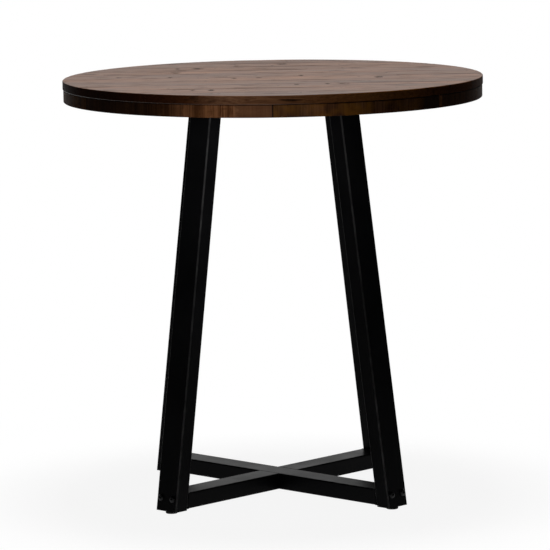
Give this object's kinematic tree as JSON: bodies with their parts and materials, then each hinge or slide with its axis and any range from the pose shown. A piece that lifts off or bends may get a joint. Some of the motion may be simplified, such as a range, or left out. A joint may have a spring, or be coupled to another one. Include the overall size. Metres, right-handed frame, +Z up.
{
  "type": "counter height table",
  "caption": "Round counter height table: planked wooden top with a built-up rim on leaning black steel tube legs, a crossed stretcher and screw levellers.",
  "frame": {"origin": "on the floor, under the centre of the round top", "axes": "+Z up, +X to the right along the planks, -Y towards the viewer of the picture"},
  "size_m": [0.9144, 0.9143, 0.9144],
  "materials": {
    "plank_wood": "dark brown stain under a worn satin varnish",
    "rim_wood": "dark brown stain with fine saw marks, satin",
    "batten_wood": "dark brown stain, matt",
    "black_steel": "fine-textured black powder coat, satin",
    "bolt_black": "black oxide, satin",
    "zinc_steel": "zinc plated",
    "pad_plastic": "moulded, matt"
  },
  "bodies": {
    "table": {"batten_left": "batten_wood", "batten_right": "batten_wood", "batten_screws": "zinc_steel", "end_plate_front_left": "black_steel", "end_plate_front_right": "black_steel", "end_plate_rear_left": "black_steel", "end_plate_rear_right": "black_steel", "foot_nuts": "zinc_steel", "foot_plate_front_left": "black_steel", "foot_plate_front_right": "black_steel", "foot_plate_rear_left": "black_steel", "foot_plate_rear_right": "black_steel", "leg_bolt_sleeves": "zinc_steel", "leg_bolts": "bolt_black", "leg_front_left": "black_steel", "leg_front_right": "black_steel", "leg_rear_left": "black_steel", "leg_rear_right": "black_steel", "plank_01": "plank_wood", "plank_02": "plank_wood", "plank_03": "plank_wood", "plank_04": "plank_wood", "plank_05": "plank_wood", "plank_06": "plank_wood", "plank_07": "plank_wood", "plank_08": "plank_wood", "plank_09": "plank_wood", "plank_10": "plank_wood", "plate_bolts": "bolt_black", "plate_inserts": "zinc_steel", "rim_closing_block": "rim_wood", "rim_screws": "zinc_steel", "rim_segment_1": "rim_wood", "rim_segment_2": "rim_wood", "rim_segment_3": "rim_wood", "rim_segment_4": "rim_wood", "rim_segment_5": "rim_wood", "rim_segment_6": "rim_wood", "rim_segment_7": "rim_wood", "stretcher_half_front_left": "black_steel", "stretcher_half_rear_right": "black_steel", "stretcher_long": "black_steel", "stretcher_nuts": "zinc_steel", "top_plate_front_left": "black_steel", "top_plate_front_right": "black_steel", "top_plate_rear_left": "black_steel", "top_plate_rear_right": "black_steel"},
    "foot_front_left": {"leveller_pad_front_left": "pad_plastic"},
    "stem_front_left": {"leveller_stem_front_left": "zinc_steel"},
    "foot_front_right": {"leveller_pad_front_right": "pad_plastic"},
    "stem_front_right": {"leveller_stem_front_right": "zinc_steel"},
    "foot_rear_right": {"leveller_pad_rear_right": "pad_plastic"},
    "stem_rear_right": {"leveller_stem_rear_right": "zinc_steel"},
    "foot_rear_left": {"leveller_pad_rear_left": "pad_plastic"},
    "stem_rear_left": {"leveller_stem_rear_left": "zinc_steel"}
  },
  "joints": [
    {"name": "leveller_travel_front_left", "type": "slide", "parent": "table", "child": "foot_front_left", "axis": [0, 0, -1], "range_m": [0, 0.01]},
    {"name": "leveller_turn_front_left", "type": "hinge", "parent": "foot_front_left", "child": "stem_front_left", "pos_m": [-0.23688, -0.23688, 0.01], "axis": [0, 0, -1], "range_deg": [0, 2880]},
    {"name": "leveller_travel_front_right", "type": "slide", "parent": "table", "child": "foot_front_right", "axis": [0, 0, -1], "range_m": [0, 0.01]},
    {"name": "leveller_turn_front_right", "type": "hinge", "parent": "foot_front_right", "child": "stem_front_right", "pos_m": [0.23688, -0.23688, 0.01], "axis": [0, 0, -1], "range_deg": [0, 2880]},
    {"name": "leveller_travel_rear_right", "type": "slide", "parent": "table", "child": "foot_rear_right", "axis": [0, 0, -1], "range_m": [0, 0.01]},
    {"name": "leveller_turn_rear_right", "type": "hinge", "parent": "foot_rear_right", "child": "stem_rear_right", "pos_m": [0.23688, 0.23688, 0.01], "axis": [0, 0, -1], "range_deg": [0, 2880]},
    {"name": "leveller_travel_rear_left", "type": "slide", "parent": "table", "child": "foot_rear_left", "axis": [0, 0, -1], "range_m": [0, 0.01]},
    {"name": "leveller_turn_rear_left", "type": "hinge", "parent": "foot_rear_left", "child": "stem_rear_left", "pos_m": [-0.23688, 0.23688, 0.01], "axis": [0, 0, -1], "range_deg": [0, 2880]}
  ],
  "couplings": [
    {"joint": "leveller_travel_front_left", "follows": "leveller_turn_front_left", "m_per_rad": 0.00019894},
    {"joint": "leveller_travel_front_right", "follows": "leveller_turn_front_right", "m_per_rad": 0.00019894},
    {"joint": "leveller_travel_rear_right", "follows": "leveller_turn_rear_right", "m_per_rad": 0.00019894},
    {"joint": "leveller_travel_rear_left", "follows": "leveller_turn_rear_left", "m_per_rad": 0.00019894}
  ]
}
